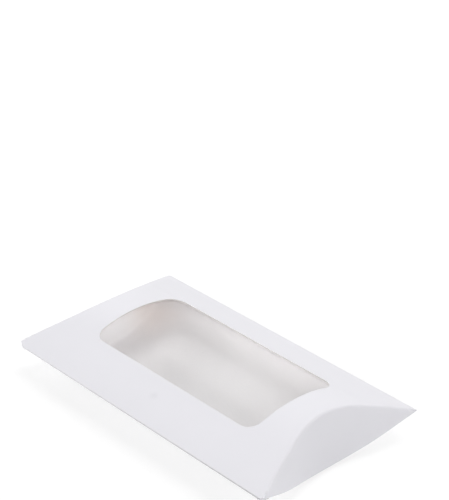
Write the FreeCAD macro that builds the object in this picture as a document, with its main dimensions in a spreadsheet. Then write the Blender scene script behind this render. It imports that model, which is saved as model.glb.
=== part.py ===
import FreeCAD, Part
import math
import os
import Sketcher

# Pillow box of thin card with a window, all lengths in mm.
# X runs along the box, Y across it, Z up. The long side folds lie in one level plane, the
# fold plane, half way up. Both panels bow away from it and each end is closed by two flaps.

os.makedirs("parts", exist_ok=True)
doc = FreeCAD.newDocument("pillow_box")
sheet = doc.addObject("Spreadsheet::Sheet", "Dimensions")

DIMENSIONS = [
    ("crease_length", 128.0),
    ("box_width", 74.0),
    ("panel_rise", 10.1),
    ("crown_share", 0.446),
    ("crown_drop_share", 0.2508),
    ("card_thickness", 0.4),
    ("crease_depth", 12.1),
    ("corner_relief", 1.5),
    ("fold_gap", 0.05),
    ("nest_gap", 0.25),
    ("outer_edge_trim", 0.7),
    ("inner_edge_trim", 2.4),
    ("outer_end_relief", 3.0),
    ("inner_end_relief", 6.0),
    ("window_end_land", 11.9),
    ("window_side_land", 17.25),
    ("window_corner_radius", 5.0),
    ("film_thickness", 0.2),
    ("film_margin", 6.0),
    ("glue_thickness", 0.1),
    ("glue_inset", 0.9),
    ("tab_width", 12.0),
    ("tab_setback", 16.0),
    ("tab_taper", 5.0),
    ("overrun_share", 1.4),
    ("waste_share", 3.0),
]
VALUES = dict(DIMENSIONS)
for row, (alias, number) in enumerate(DIMENSIONS, start=1):
    sheet.set(f"A{row}", alias)
    sheet.set(f"B{row}", str(number))
    sheet.setAlias(f"B{row}", alias)
doc.recompute()


def size(alias):
    """Expression that names one driving dimension."""
    return f"Dimensions.{alias}"


LENGTH = size("crease_length")
WIDTH = size("box_width")
RISE = size("panel_rise")
CARD = size("card_thickness")
GLUE = size("glue_thickness")
FILM = size("film_thickness")
DEPTH = size("crease_depth")
OVERRUN = size("overrun_share")
WASTE = f"({size('waste_share')} * {size('card_thickness')})"
FOLD_GAP = size("fold_gap")

# The crown is a share of the width and drops by a share of the rise, so the bow of a panel keeps
# its form when either of them changes.
CROWN_SPAN = f"({WIDTH} * {size('crown_share')})"
CROWN_DROP = f"({RISE} * {size('crown_drop_share')})"
CROWN_RADIUS = f"(({CROWN_SPAN} * {CROWN_SPAN} / 4 + {CROWN_DROP} * {CROWN_DROP}) / (2 * {CROWN_DROP}))"

# The upper crease plane leans in by the crease depth over the rise of the panel. The lower one
# stands square to it, so the free edge of an outer flap comes down on the lower crease.
LOWER_DEPTH = f"({RISE} * {RISE} / {DEPTH})"
# Distance along X that puts an inner flap one card and one gap behind the outer flap.
FLAP_SINE = f"(2 * {RISE} * {DEPTH} / ({RISE} * {RISE} + {DEPTH} * {DEPTH}))"
NEST = f"(({CARD} + {size('nest_gap')}) / {FLAP_SINE})"
# Long enough for any piece of the bowed card, at any end of the box.
THROUGH = f"(2 * ({LENGTH} + {WIDTH}))"

NEAR = "1"
FAR = "-1"

# The window leaves a land of card to the crest at each end and to the fold at each side.
WINDOW_LENGTH = f"({LENGTH} - 2 * ({DEPTH} + {size('window_end_land')}))"
WINDOW_WIDTH = f"({WIDTH} - 2 * {size('window_side_land')})"


def origin_plane(body, role):
    """One of the three origin planes of a body, by its role."""
    return [plane for plane in body.Origin.OriginFeatures if plane.Role == role][0]


def new_sketch(body, role):
    sketch = body.newObject("Sketcher::SketchObject", f"{body.Name}_{role}")
    sketch.AttachmentSupport = [(origin_plane(body, role), "")]
    sketch.MapMode = "FlatFace"
    return sketch


def new_body(name, turned=False):
    """A body whose level plane is the fold plane; turned over for the lower half of the box."""
    body = doc.addObject("PartDesign::Body", name)
    half_turn = FreeCAD.Rotation(FreeCAD.Vector(1, 0, 0), 180 if turned else 0)
    body.Placement = FreeCAD.Placement(FreeCAD.Vector(), half_turn)
    body.setExpression("Placement.Base.z", RISE)
    return body


def pad(body, sketch, length, name):
    """Pad a sketch by the same amount to both sides of its plane."""
    feature = body.newObject("PartDesign::Pad", f"{name}_pad")
    feature.Profile = sketch
    feature.SideType = "Symmetric"
    feature.setExpression("Length", length)
    body.Tip = feature
    return feature


def pin(sketch, geometry, point, across, up, name):
    """Hold one point of a sketch at two expressions measured from the origin."""
    for kind, tag, expression in (("DistanceX", "x", across), ("DistanceY", "y", up)):
        index = sketch.addConstraint(Sketcher.Constraint(kind, -1, 1, geometry, point, 1.0))
        sketch.renameConstraint(index, f"{name}_{tag}")
        sketch.setExpression(f"Constraints.{name}_{tag}", expression)


def outline(sketch, corners, name):
    """Closed outline of straight lines, each corner pinned by a pair of expressions."""
    count = len(corners)
    first = sketch.GeometryCount
    turns = [2 * math.pi * index / count for index in range(count)]
    starts = [FreeCAD.Vector(math.cos(turn), math.sin(turn), 0) for turn in turns]
    for index in range(count):
        sketch.addGeometry(Part.LineSegment(starts[index], starts[(index + 1) % count]), False)
    for index in range(count):
        following = first + (index + 1) % count
        sketch.addConstraint(Sketcher.Constraint("Coincident", first + index, 2, following, 1))
    for index, (across, up) in enumerate(corners):
        pin(sketch, first + index, 1, across, up, f"{name}{index}")


def rectangle(half_length, half_width):
    """Four corners of a rectangle about the origin."""
    return [
        (half_length, half_width),
        (f"-({half_length})", half_width),
        (f"-({half_length})", f"-({half_width})"),
        (half_length, f"-({half_width})"),
    ]


def prism(name, role, loops):
    """Solid that stands through the box on an outline seen from the side or from above."""
    body = new_body(name)
    sketch = new_sketch(body, role)
    for index, corners in enumerate(loops):
        outline(sketch, corners, f"loop{index}_corner")
    pad(body, sketch, THROUGH, name)
    return body


class Bow:
    """Three arcs that touch, a crown and two flatter flanks, as first positions of a sketch."""

    def __init__(self):
        half_width = VALUES["box_width"] / 2
        self.half_span = half_width * VALUES["crown_share"]
        drop = VALUES["panel_rise"] * VALUES["crown_drop_share"]
        self.crown = (self.half_span ** 2 + drop ** 2) / (2 * drop)
        self.crown_centre = FreeCAD.Vector(0, VALUES["panel_rise"] - self.crown, 0)
        self.turn = math.asin(self.half_span / self.crown)
        facing = FreeCAD.Vector(math.sin(self.turn), math.cos(self.turn), 0)
        joint = self.crown_centre + facing * self.crown
        reach = FreeCAD.Vector(half_width, 0, 0) - joint
        self.flank = -reach.dot(reach) / (2 * reach.dot(facing))
        self.flank_centre = joint - facing * self.flank

    def arcs(self, skin):
        """Right flank, crown and left flank of the skin that lies this far inside the card."""
        normal = FreeCAD.Vector(0, 0, 1)
        inner = math.pi / 2 - self.turn
        radius = self.flank - skin
        outer = math.asin(-self.flank_centre.y / radius)
        mirrored = FreeCAD.Vector(-self.flank_centre.x, self.flank_centre.y, 0)
        right = Part.Circle(self.flank_centre, normal, radius)
        crown = Part.Circle(self.crown_centre, normal, self.crown - skin)
        left = Part.Circle(mirrored, normal, radius)
        return [
            Part.ArcOfCircle(right, outer, inner),
            Part.ArcOfCircle(crown, inner, math.pi - inner),
            Part.ArcOfCircle(left, math.pi - inner, math.pi - outer),
        ]


BOW = Bow()
RIGHT, CROWN, LEFT = range(3)
START, END, CENTRE = range(1, 4)


def join_arcs(sketch, first):
    """Make flank, crown and flank run into each other and end on the fold plane."""
    sketch.addConstraint([
        Sketcher.Constraint("Tangent", first + RIGHT, END, first + CROWN, START),
        Sketcher.Constraint("Tangent", first + CROWN, END, first + LEFT, START),
        Sketcher.Constraint("PointOnObject", first + RIGHT, START, -1),
        Sketcher.Constraint("PointOnObject", first + LEFT, END, -1),
    ])


def drive(sketch, constraint, name, expression):
    index = sketch.addConstraint(constraint)
    sketch.renameConstraint(index, name)
    sketch.setExpression(f"Constraints.{name}", expression)


def bowed_sheet(name, outer, inner, turned=False):
    """Bowed sheet between two skins. A skin is a pair, its depth in the card and its expression."""
    body = new_body(name, turned)
    sketch = new_sketch(body, "YZ_Plane")
    half_width = VALUES["box_width"] / 2
    half_span = BOW.half_span
    fall = -BOW.crown_centre.y

    # Outside of the card as a guide: width, rise, crown span and crown radius fix all of it.
    sketch.addGeometry(BOW.arcs(0), True)
    join_arcs(sketch, 0)
    sketch.addConstraint(Sketcher.Constraint("PointOnObject", CROWN, CENTRE, -2))
    drive(sketch, Sketcher.Constraint("Radius", CROWN, BOW.crown), "guide_radius", CROWN_RADIUS)
    drive(sketch, Sketcher.Constraint("DistanceY", CROWN, CENTRE, -1, 1, fall), "guide_fall",
          f"{CROWN_RADIUS} - {RISE}")
    drive(sketch, Sketcher.Constraint("DistanceX", -1, 1, CROWN, START, half_span), "guide_span_right",
          f"{CROWN_SPAN} / 2")
    drive(sketch, Sketcher.Constraint("DistanceX", CROWN, END, -1, 1, half_span), "guide_span_left",
          f"{CROWN_SPAN} / 2")
    drive(sketch, Sketcher.Constraint("DistanceX", -1, 1, RIGHT, START, half_width), "guide_width_right",
          f"{WIDTH} / 2")
    drive(sketch, Sketcher.Constraint("DistanceX", LEFT, END, -1, 1, half_width), "guide_width_left",
          f"{WIDTH} / 2")

    # The two skins of the sheet share the centres of the guide.
    firsts = []
    for label, (depth, expression) in (("outer", outer), ("inner", inner)):
        first = sketch.GeometryCount
        firsts.append(first)
        sketch.addGeometry(BOW.arcs(depth), False)
        join_arcs(sketch, first)
        for arc in (RIGHT, CROWN, LEFT):
            sketch.addConstraint(Sketcher.Constraint("Coincident", first + arc, CENTRE, arc, CENTRE))
        radius = Sketcher.Constraint("Radius", first + CROWN, BOW.crown - depth)
        drive(sketch, radius, f"{label}_radius", f"{CROWN_RADIUS} - ({expression})")

    # Along the side folds the sheet is mitred on the fold plane.
    for arc, point in ((RIGHT, START), (LEFT, END)):
        ends = [sketch.getPoint(first + arc, point) for first in firsts]
        line = sketch.addGeometry(Part.LineSegment(ends[0], ends[1]), False)
        sketch.addConstraint(Sketcher.Constraint("Coincident", line, START, firsts[0] + arc, point))
        sketch.addConstraint(Sketcher.Constraint("Coincident", line, END, firsts[1] + arc, point))
    pad(body, sketch, THROUGH, name)
    return body


def combine(kind, name, base, tool):
    feature = doc.addObject(f"Part::{kind}", name)
    feature.Label = name
    feature.Base = base
    feature.Tool = tool
    return feature


def folded_over(name, source, end, depth, upper):
    """A sheet folded along a crease that lies in a plane is that sheet mirrored in the plane."""
    feature = doc.addObject("Part::Mirroring", name)
    feature.Source = source
    apex = f"{LENGTH} / 2" if upper else f"({LENGTH} / 2 - {NEST})"
    feature.setExpression("Base.x", f"{end} * {apex}")
    feature.setExpression("Base.z", RISE)
    feature.setExpression("Normal.x", f"{end} * {RISE}")
    feature.setExpression("Normal.y", "0")
    feature.setExpression("Normal.z", depth if upper else f"-{depth}")
    return feature


card = VALUES["card_thickness"]
glue = VALUES["glue_thickness"]
film = VALUES["film_thickness"]
gap = VALUES["fold_gap"]
waste = VALUES["waste_share"] * card

# Skins of the layers, counted inwards from the outside of the card.
outside = (0, "0")
card_inside = (card, CARD)
glue_inside = (card + glue, f"{CARD} + {GLUE}")
film_inside = (card + glue + film, f"{CARD} + {GLUE} + {FILM}")
tab_inside = (card + glue + card, f"2 * {CARD} + {GLUE}")
# Skins that a folded flap is cut from and cut with. Folding over turns the outside in, so the
# card of a flap lies outside the skin that it is mirrored from.
flap_inside = (-card, f"-{CARD}")
flap_clear = (-card - gap, f"-{CARD} - {FOLD_GAP}")
root_clear = (card + gap, f"{CARD} + {FOLD_GAP}")
waste_inside = (waste, WASTE)
waste_outside = (-waste, f"-{WASTE}")

top_sheet = bowed_sheet("top_sheet", outside, card_inside)
bottom_sheet = bowed_sheet("bottom_sheet", outside, card_inside, turned=True)


def panel_corners(tip, depth, side):
    """Side view of a panel: a crease plane cuts each end, and each corner is blunted a little."""
    relief = size("corner_relief")
    blunt = f"({tip} - {relief})"
    crown = f"({tip} - {depth} * {OVERRUN})"
    step = f"{side} * {RISE} * {relief} / {depth}"
    height = f"{side} * {RISE} * {OVERRUN}"
    return [
        (f"-{blunt}", "0"),
        (blunt, "0"),
        (blunt, step),
        (crown, height),
        (f"-{crown}", height),
        (f"-{blunt}", step),
    ]


def flap_corners(tip, end, root_depth, free_depth, trim, side):
    """Side view of a closed flap: its crease plane above, its free edge plane below, or turned."""
    height = f"{RISE} * {OVERRUN}"
    free_tip = f"({tip} - {trim})"
    return [
        (f"{end} * {tip}", "0"),
        (f"{end} * ({tip} - {root_depth} * {OVERRUN})", f"{side} * {height}"),
        (f"{end} * ({free_tip} - {free_depth} * {OVERRUN})", f"-({side} * {height})"),
        (f"{end} * {free_tip}", "0"),
    ]


HALF = f"({LENGTH} / 2)"
INNER_TIP = f"({LENGTH} / 2 - {NEST})"

# Top panel with the window. It ends at the inside of the outer flaps, which form the crest.
top_side = prism("top_side", "XZ_Plane", [panel_corners(HALF, DEPTH, 1)])
top_blank = combine("Common", "top_blank", top_sheet, top_side)
top_cutter = bowed_sheet("top_cutter", flap_clear, waste_inside)
for end, word in ((NEAR, "near"), (FAR, "far")):
    cutter = folded_over(f"top_{word}_cutter", top_cutter, end, DEPTH, True)
    top_blank = combine("Cut", f"top_{word}_cut", top_blank, cutter)
window_loop = rectangle(f"{WINDOW_LENGTH} / 2", f"{WINDOW_WIDTH} / 2")
window = prism("window", "XY_Plane", [window_loop])
doc.recompute()
square_window = window.Tip
upright = []
for index, edge in enumerate(square_window.Shape.Edges, start=1):
    if abs(edge.tangentAt(edge.FirstParameter).z) > math.cos(math.pi / 4):
        upright.append(f"Edge{index}")
rounding = window.newObject("PartDesign::Fillet", "window_rounding")
rounding.Base = (square_window, upright)
rounding.setExpression("Radius", size("window_corner_radius"))
window.Tip = rounding
top_panel = combine("Cut", "top_panel", top_blank, window)

# Bottom panel. Its creases sit inside those of the top panel, and its ends reach under the
# inner flaps, which stand on its inside.
bottom_side = prism("bottom_side", "XZ_Plane", [panel_corners(INNER_TIP, LOWER_DEPTH, -1)])
bottom_blank = combine("Common", "bottom_blank", bottom_sheet, bottom_side)
bottom_cutter = bowed_sheet("bottom_cutter", outside, waste_inside, turned=True)
near_cutter = folded_over("bottom_near_cutter", bottom_cutter, NEAR, LOWER_DEPTH, False)
far_cutter = folded_over("bottom_far_cutter", bottom_cutter, FAR, LOWER_DEPTH, False)
bottom_half_cut = combine("Cut", "bottom_half_cut", bottom_blank, near_cutter)
bottom_panel = combine("Cut", "bottom_panel", bottom_half_cut, far_cutter)

top_flap_sheet = bowed_sheet("top_flap_sheet", flap_inside, outside)
bottom_flap_sheet = bowed_sheet("bottom_flap_sheet", flap_inside, outside, turned=True)
over_top = bowed_sheet("over_top", waste_outside, outside)
under_flap = bowed_sheet("under_flap", waste_outside, root_clear, turned=True)


def end_flap(name, end, upper):
    """One closed flap: the bowed sheet folded over at its crease and cut to its own outline."""
    root_depth = DEPTH if upper else LOWER_DEPTH
    free_depth = LOWER_DEPTH if upper else DEPTH
    tip = HALF if upper else INNER_TIP
    trim = size("outer_edge_trim") if upper else size("inner_edge_trim")
    relief = size("outer_end_relief") if upper else size("inner_end_relief")
    source = top_flap_sheet if upper else bottom_flap_sheet
    folded = folded_over(f"{name}_fold", source, end, root_depth, upper)
    cutter = new_body(f"{name}_side")
    sketch = new_sketch(cutter, "XZ_Plane")
    corners = flap_corners(tip, end, root_depth, free_depth, trim, 1 if upper else -1)
    outline(sketch, corners, "corner")
    pad(cutter, sketch, f"{WIDTH} - 2 * {relief}", f"{name}_side")
    blank = combine("Common", f"{name}_blank", folded, cutter)
    return combine("Cut", name, blank, over_top if upper else under_flap)


near_outer_flap = end_flap("near_outer_flap", NEAR, True)
far_outer_flap = end_flap("far_outer_flap", FAR, True)
near_inner_flap = end_flap("near_inner_flap", NEAR, False)
far_inner_flap = end_flap("far_inner_flap", FAR, False)

# Glue tab, folded in from one long edge of the top panel on to the bottom panel.
tab_sheet = bowed_sheet("tab_sheet", glue_inside, tab_inside, turned=True)
tab_root = f"({HALF} - {size('tab_setback')})"
tab_free = f"({tab_root} - {size('tab_taper')})"
tab_line = f"({size('tab_width')} - {WIDTH} / 2)"
tab_plan = prism("tab_plan", "XY_Plane", [[
    (f"-{tab_root}", f"-{WIDTH} / 2"),
    (tab_root, f"-{WIDTH} / 2"),
    (tab_free, tab_line),
    (f"-{tab_free}", tab_line),
]])
seam_tab = combine("Common", "seam_tab", tab_sheet, tab_plan)

# Glue strip under the tab, a little short of its edges.
seam_glue_sheet = bowed_sheet("seam_glue_sheet", card_inside, glue_inside, turned=True)
strip_half = f"({tab_free} - {size('glue_inset')})"
strip_start = f"(2 * {size('glue_inset')} + {CARD} - {WIDTH} / 2)"
strip_end = f"({tab_line} - {size('glue_inset')})"
strip_plan = prism("strip_plan", "XY_Plane", [[
    (f"-{strip_half}", strip_start),
    (strip_half, strip_start),
    (strip_half, strip_end),
    (f"-{strip_half}", strip_end),
]])
seam_glue = combine("Common", "seam_glue", seam_glue_sheet, strip_plan)

# Clear film inside the window, held by a frame of glue.
film_half_length = f"({WINDOW_LENGTH} / 2 + {size('film_margin')})"
film_half_width = f"({WINDOW_WIDTH} / 2 + {size('film_margin')})"
film_sheet = bowed_sheet("film_sheet", glue_inside, film_inside)
film_plan = prism("film_plan", "XY_Plane", [rectangle(film_half_length, film_half_width)])
window_film = combine("Common", "window_film", film_sheet, film_plan)

window_glue_sheet = bowed_sheet("window_glue_sheet", card_inside, glue_inside)
inset = size("glue_inset")
frame_outside = rectangle(f"{film_half_length} - {inset}", f"{film_half_width} - {inset}")
frame_inside = rectangle(f"{WINDOW_LENGTH} / 2 + {inset}", f"{WINDOW_WIDTH} / 2 + {inset}")
frame_plan = prism("frame_plan", "XY_Plane", [frame_outside, frame_inside])
window_glue = combine("Common", "window_glue", window_glue_sheet, frame_plan)

doc.recompute()

SUB_PARTS = [
    top_panel, bottom_panel, seam_tab,
    near_outer_flap, near_inner_flap, far_outer_flap, far_inner_flap,
    window_film, window_glue, seam_glue,
]
for thing in doc.Objects:
    if "Invalid" in thing.State or "Error" in thing.State:
        raise RuntimeError(f"{thing.Name} did not recompute: {thing.State}")
for part in SUB_PARTS:
    if part.Shape.isNull() or not part.Shape.isValid() or part.Shape.Volume <= 0:
        raise RuntimeError(f"{part.Label} has no sound shape")
    if len(part.Shape.Solids) != 1:
        raise RuntimeError(f"{part.Label} has {len(part.Shape.Solids)} solids")
    part.Shape.exportStep(f"parts/{part.Label}.step")
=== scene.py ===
# %% [markdown]
# # A pillow box with a window
# A pillow box is one flat piece of thin white card, scored and folded round. The two big panels
# bow away from each other, and at each end two curved flaps fold in and hold the bow open. A clear
# film closes a window in the top. This lesson dresses the measured model of the box: the packed
# solids are loaded first, and every piece made here lies where they lie, in metres.

# %% Load the measured model
import math

import bmesh
import bpy
from mathutils import Matrix, Vector


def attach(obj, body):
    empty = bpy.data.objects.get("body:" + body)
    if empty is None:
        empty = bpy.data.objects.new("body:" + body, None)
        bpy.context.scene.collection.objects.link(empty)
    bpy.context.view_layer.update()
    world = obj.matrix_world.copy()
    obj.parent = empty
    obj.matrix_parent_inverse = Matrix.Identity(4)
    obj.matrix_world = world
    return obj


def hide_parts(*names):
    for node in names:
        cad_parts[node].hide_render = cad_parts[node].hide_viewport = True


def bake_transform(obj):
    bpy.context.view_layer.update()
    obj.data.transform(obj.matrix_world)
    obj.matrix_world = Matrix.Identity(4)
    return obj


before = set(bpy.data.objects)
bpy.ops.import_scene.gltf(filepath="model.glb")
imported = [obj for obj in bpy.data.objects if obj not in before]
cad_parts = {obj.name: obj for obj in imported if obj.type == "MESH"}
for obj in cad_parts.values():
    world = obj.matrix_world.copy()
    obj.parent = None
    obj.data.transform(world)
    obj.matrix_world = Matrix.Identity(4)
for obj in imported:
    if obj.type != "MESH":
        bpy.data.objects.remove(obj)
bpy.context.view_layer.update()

MM = 0.001
for name in ("Cube", "Light", "Camera"):  # what the start-up file brings along
    leftover = bpy.data.objects.get(name)
    if leftover:
        bpy.data.objects.remove(leftover)
print("solids", sorted(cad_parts))

# %% [markdown]
# ## The sizes of the box
# The side folds lie in one level plane, half way up, and the sizes are counted from there. A panel
# is a bow of three arcs that run into each other: a rounder crown in the middle and a flatter
# flank at each side. At the side fold the card turns through a very small arc, because no card
# folds to a knife edge. From these few numbers the centres of the arcs follow, so the spin tool
# can draw the bow exactly.

# %% Sizes and the arcs of the bow
CARD = 0.4 * MM
HALF_LENGTH = 64 * MM
HALF_WIDTH = 37 * MM
RISE = 10.1 * MM
FOLD_Z = RISE
FOLD_RADIUS = 0.35 * MM
CROWN_WIDTH_SHARE = 0.446
CROWN_DROP_SHARE = 0.2508
CROWN_STEPS, FLANK_STEPS, FOLD_STEPS = 14, 20, 5

crown_half = HALF_WIDTH * CROWN_WIDTH_SHARE
crown_drop = RISE * CROWN_DROP_SHARE
crown_radius = (crown_half ** 2 + crown_drop ** 2) / (2 * crown_drop)
crown_turn = math.asin(crown_half / crown_radius)
facing = Vector((math.sin(crown_turn), math.cos(crown_turn)))
shoulder = Vector((crown_half, RISE - crown_drop))
fold_centre = Vector((HALF_WIDTH - FOLD_RADIUS, 0))
across = shoulder - fold_centre
flank_radius = (across.length_squared - FOLD_RADIUS ** 2) / (
    2 * (across.dot(facing) - FOLD_RADIUS)
)
flank_centre = shoulder - flank_radius * facing
towards_fold = (fold_centre - flank_centre).normalized()
fold_turn = math.atan2(towards_fold.x, towards_fold.y)

BOW = [
    (Vector((0, RISE - crown_radius)), crown_turn, CROWN_STEPS),
    (flank_centre, fold_turn - crown_turn, FLANK_STEPS),
    (fold_centre, math.pi / 2 - fold_turn, FOLD_STEPS),
]
print("radii in mm: crown", round(crown_radius / MM, 2), "flank", round(flank_radius / MM, 1))

# %% [markdown]
# ## Handling selections without a window
# Tools act on all that is selected, so each step starts from nothing and takes one object. These
# helpers do what a click in the list of objects does by hand.

# %% Take and edit one object
def select_nothing():
    """Leave edit mode and let go of every object."""
    if bpy.context.object and bpy.context.object.mode != "OBJECT":
        bpy.ops.object.mode_set(mode="OBJECT")
    bpy.ops.object.select_all(action="DESELECT")


def take(thing):
    """Make this the only selected object, and the active one."""
    select_nothing()
    thing.select_set(True)
    bpy.context.view_layer.objects.active = thing


def edit(thing):
    """Go into edit mode on this object, with nothing of its mesh selected."""
    take(thing)
    bpy.ops.object.mode_set(mode="EDIT")
    bpy.ops.mesh.select_mode(type="VERT")
    bpy.ops.mesh.select_all(action="DESELECT")


def apply_modifiers(thing):
    """Apply all modifiers of this object, which stays selected."""
    take(thing)
    for modifier in list(thing.modifiers):
        bpy.ops.object.modifier_apply(modifier=modifier.name)


# %% [markdown]
# A script has no mouse to click on points with, and their numbers change with every cut. Their
# places don't, so points and faces are picked by a test of where they lie.

# %% Pick points and faces
def pick(thing, rule):
    """Select the points of the mesh in edit mode whose place passes the rule."""
    bpy.ops.mesh.select_mode(type="VERT")
    bpy.ops.mesh.select_all(action="DESELECT")
    mesh = bmesh.from_edit_mesh(thing.data)
    for point in mesh.verts:
        point.select = bool(rule(point.co))
    mesh.select_flush_mode()
    bmesh.update_edit_mesh(thing.data)


def pick_faces(thing, rule):
    """Select the faces of the mesh in edit mode whose middle passes the rule."""
    bpy.ops.mesh.select_mode(type="FACE")
    bpy.ops.mesh.select_all(action="DESELECT")
    mesh = bmesh.from_edit_mesh(thing.data)
    for face in mesh.faces:
        face.select = bool(rule(face.calc_center_median()))
    mesh.select_flush_mode()
    bmesh.update_edit_mesh(thing.data)


# %% [markdown]
# Card is cut along straight and slanted lines. A cut is made by a plane through the whole mesh,
# given as a point on it and the way that it faces, and either side may be thrown away.

# %% Cut along a plane
def cut(plane, drop_beyond=False, drop_before=False):
    """Cut all of the mesh in edit mode along a plane."""
    bpy.ops.mesh.select_all(action="SELECT")
    bpy.ops.mesh.bisect(
        plane_co=plane[0], plane_no=plane[1], clear_outer=drop_beyond, clear_inner=drop_before
    )


def beyond(plane, place):
    """How far a place lies beyond a plane."""
    return (place - plane[0]).dot(plane[1])


# %% [markdown]
# ## One bowed sheet
# Both panels, all four flaps, the glue tab and the film are the same bowed sheet, cut and folded
# in different ways. A grid could be pushed into shape point by point, but spinning is exact and
# closer to how card bends: it stays straight along the box and curves only across it. One long
# edge of a plane is kept and spun round the centre of each arc in turn. A mirror modifier adds
# the other half.

# %% Make a bowed sheet
TINY = 1e-7


def face_outwards(sheet, way):
    """Turn all faces one way, so that the face lying furthest along a direction looks along it."""
    edit(sheet)
    bpy.ops.mesh.select_all(action="SELECT")
    bpy.ops.mesh.normals_make_consistent(inside=False)
    mesh = bmesh.from_edit_mesh(sheet.data)
    furthest = max(mesh.faces, key=lambda face: face.calc_center_median().dot(way))
    if furthest.normal.dot(way) < 0:
        bpy.ops.mesh.flip_normals()
    bpy.ops.object.mode_set(mode="OBJECT")


def bowed_sheet(name, side, reach, inset=0.0, turns=BOW):
    """Open sheet, the outside of the top (side 1) or the bottom (side -1), or a skin inside it."""
    select_nothing()
    apex = FOLD_Z + side * (RISE - inset)
    bpy.ops.mesh.primitive_plane_add(size=2 * reach, location=(0, reach, apex))
    sheet = bpy.context.object
    sheet.name = name
    sheet.data.name = name
    bpy.ops.object.transform_apply(location=True, rotation=True, scale=True)
    edit(sheet)
    pick(sheet, lambda place: place.y > TINY)
    bpy.ops.mesh.delete(type="VERT")
    bpy.ops.mesh.select_all(action="SELECT")
    for centre, turn, steps in turns:
        middle = (0, centre.x, FOLD_Z + side * centre.y)
        bpy.ops.mesh.spin(steps=steps, angle=turn, center=middle, axis=(side, 0, 0))
    bpy.ops.object.mode_set(mode="OBJECT")
    mirror = sheet.modifiers.new("other_half", "MIRROR")
    mirror.use_axis = (False, True, False)
    mirror.merge_threshold = TINY
    apply_modifiers(sheet)
    face_outwards(sheet, Vector((0, 0, side)))
    return sheet


# %% [markdown]
# ## Where the card is creased
# A curved crease pressed into a flat sheet lies in one tilted plane once the sheet is bowed. The
# flap beyond it is the rest of the sheet, mirrored in that plane. So four planes place all the
# folds: the upper crease of the outer flap, the lower crease of the inner flap, and the two planes
# that their free edges are cut along. The fold itself is a small round crest. It is made together
# with its flap, on a narrow strip of the panel, so the panels stop at that strip.

# %% Crease planes
CREASE_DEPTH = 12.1 * MM
LOWER_DEPTH = RISE ** 2 / CREASE_DEPTH
FLAP_GAP = 0.25 * MM
NEST = (CARD + FLAP_GAP) * (RISE ** 2 + CREASE_DEPTH ** 2) / (2 * RISE * CREASE_DEPTH)
UPPER_STRIP = 2.6 * MM
LOWER_STRIP = 5.9 * MM
OUTER_TRIM = 1.2 * MM
INNER_TRIM = 2.4 * MM


def crease_plane(tip, depth, side):
    """Plane that leans from the tip in to the crest of a panel, at the near end."""
    return Vector((tip, 0, FOLD_Z)), Vector((RISE, 0, side * depth)).normalized()


def other_end(plane):
    """The same plane at the far end of the box."""
    return Vector((-plane[0].x, 0, plane[0].z)), Vector((-plane[1].x, 0, plane[1].z))


upper_crease = crease_plane(HALF_LENGTH, CREASE_DEPTH, 1)
upper_strip = crease_plane(HALF_LENGTH - UPPER_STRIP, CREASE_DEPTH, 1)
lower_crease = crease_plane(HALF_LENGTH - NEST, LOWER_DEPTH, -1)
lower_strip = crease_plane(HALF_LENGTH - NEST - LOWER_STRIP, LOWER_DEPTH, -1)
outer_free_edge = crease_plane(HALF_LENGTH - OUTER_TRIM, LOWER_DEPTH, -1)
inner_free_edge = crease_plane(HALF_LENGTH - NEST - INNER_TRIM, CREASE_DEPTH, 1)
print("the inner flaps nest", round(NEST / MM, 2), "mm behind the outer ones")

# %% [markdown]
# The tips of the box are blunt, because card doesn't fold to a needle point. So a crease can't run
# right out to the side folds: it ends on the last straight line of the flank that still meets it
# inside the blunt corner. These lines are the ones that the spin leaves along the sheet, so the
# sheet has an edge to stop at.

# %% Where the creases end
CORNER_RELIEF = 1.5 * MM
flank_angles = [
    crown_turn + (fold_turn - crown_turn) * step / FLANK_STEPS for step in range(FLANK_STEPS + 1)
]
ruled_lines = [
    flank_centre + flank_radius * Vector((math.sin(angle), math.cos(angle)))
    for angle in flank_angles
]


def last_line(depth):
    """Outermost ruled line of the flank that still reaches the crease inside the blunt corner."""
    least = CORNER_RELIEF * RISE / depth
    return max((line for line in ruled_lines if line.y >= least), key=lambda line: line.x)


upper_end, upper_end_rise = last_line(CREASE_DEPTH)
lower_end, lower_end_rise = last_line(LOWER_DEPTH)
print("creases end at y in mm", round(upper_end / MM, 2), round(lower_end / MM, 2))

# %% [markdown]
# ## Building a finish from nodes
# A finish is a tree of nodes. By hand, a node is added, its sockets are filled in, and lines are
# drawn to it from other nodes. In code those steps repeat for every node, so one helper does all
# three, and two more add the sums and the colour mixes that come up most.

# %% Helpers for node trees
def fill(tree, socket, value):
    """Give a socket a plain value, or draw a line to it from the output of another node."""
    if isinstance(value, bpy.types.NodeSocket):
        tree.links.new(value, socket)
    else:
        socket.default_value = value


def add_node(tree, kind, sockets=None, **settings):
    """Add a node, make its settings, and fill its sockets, which are named or counted."""
    node = tree.nodes.new(kind)
    for name, value in settings.items():
        setattr(node, name, value)
    for name, value in (sockets or {}).items():
        fill(tree, node.inputs[name], value)
    return node


def add_math(tree, operation, first, second):
    """Work out one value from two, each a number or the output of another node."""
    return add_node(tree, "ShaderNodeMath", {0: first, 1: second}, operation=operation).outputs[0]


def add_mix(tree, share, first, second):
    """Mix two colours, each a plain colour or the output of another node."""
    node = add_node(tree, "ShaderNodeMix", {"Factor": share}, data_type="RGBA")
    for name, value in (("A", first), ("B", second)):
        socket = next(s for s in node.inputs if s.name == name and s.type == "RGBA")
        fill(tree, socket, value if isinstance(value, bpy.types.NodeSocket) else (*value, 1))
    return next(s for s in node.outputs if s.type == "RGBA")


def new_finish(name):
    """A new material and its node tree."""
    material = bpy.data.materials.new(name)
    material.use_nodes = True
    return material, material.node_tree


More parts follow.
